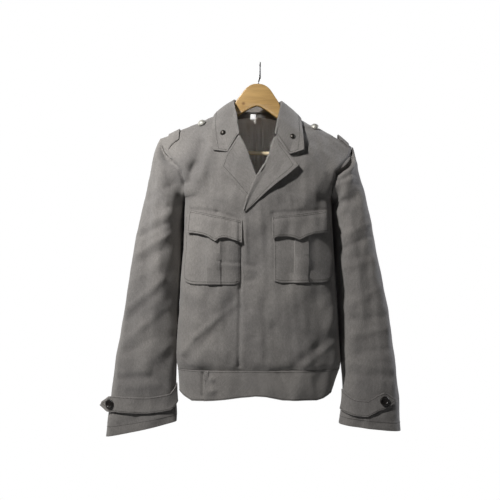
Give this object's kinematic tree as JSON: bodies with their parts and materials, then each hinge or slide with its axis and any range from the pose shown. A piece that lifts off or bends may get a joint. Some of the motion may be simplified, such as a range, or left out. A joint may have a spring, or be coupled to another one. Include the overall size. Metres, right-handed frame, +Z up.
{
  "type": "military tunic on a wooden hanger",
  "caption": "Short grey military tunic with notched collar, pleated chest pockets, waistband and cuff straps, hanging on a plain wooden hanger.",
  "frame": {"origin": "inside the crown of the hanger's hook, where a rail or wall hook carries it", "axes": "+Z up, the tunic's front faces -Y, +X is the viewer's right, which is the wearer's left"},
  "size_m": [0.6408, 0.2114, 0.8],
  "materials": {
    "wool": "matte wool serge",
    "lining": "soft sheen lining",
    "label": "matte white tape",
    "beech": "satin varnish",
    "steel": "bare wire",
    "pewter": "dull silver",
    "dark_horn": "dark, half gloss",
    "stud": "dark metal"
  },
  "bodies": {
    "root": {"back": "wool", "front_left": "wool", "front_right": "wool", "lapel_left": "wool", "lapel_right": "wool", "collar": "wool", "sleeve_left": "wool", "sleeve_right": "wool", "waistband": "wool", "pocket_left": "wool", "pocket_right": "wool", "pocket_flap_left": "wool", "pocket_flap_right": "wool", "cuff_tab_left": "wool", "cuff_tab_right": "wool", "carrier_left": "wool", "carrier_right": "wool", "cuff_button_left": "dark_horn", "cuff_button_right": "dark_horn", "shoulder_button_left": "pewter", "shoulder_button_right": "pewter", "collar_stud_left": "stud", "collar_stud_right": "stud", "back_lining": "lining", "neck_label": "label", "hanger_wood": "beech", "hanger_bar": "beech", "hanger_hook": "steel"}
  },
  "joints": []
}
